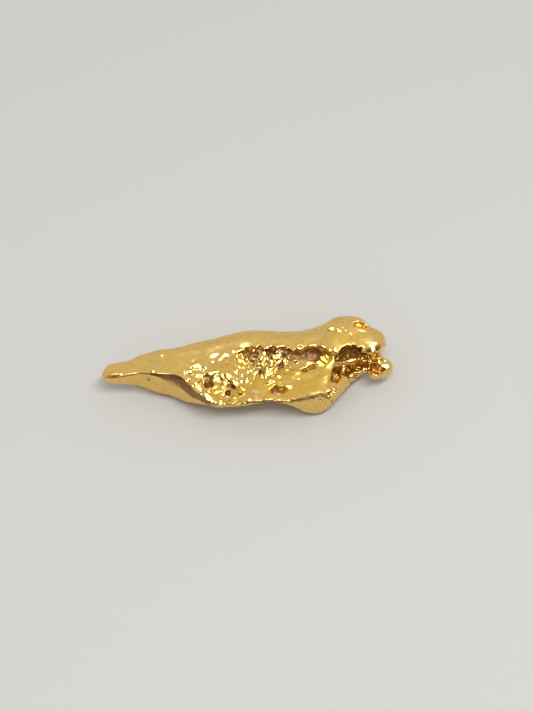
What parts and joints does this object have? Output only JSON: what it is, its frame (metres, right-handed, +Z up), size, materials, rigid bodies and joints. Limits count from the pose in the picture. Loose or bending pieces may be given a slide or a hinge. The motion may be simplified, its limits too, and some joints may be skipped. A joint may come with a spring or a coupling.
{
  "type": "gold nugget",
  "caption": "Natural gold nugget with a tapering tail, a rounded head end, a rough hollow along its upper side and a worn flat underside.",
  "frame": {"origin": "centre of the bounding box at the level of the worn underside", "axes": "+X along the nugget from the tail to the head, +Y towards the rounded back, +Z up from the surface it lies on"},
  "size_m": [0.015, 0.0054, 0.0028],
  "materials": {
    "native_gold": null
  },
  "bodies": {
    "root": {"nugget": "native_gold"}
  },
  "joints": []
}
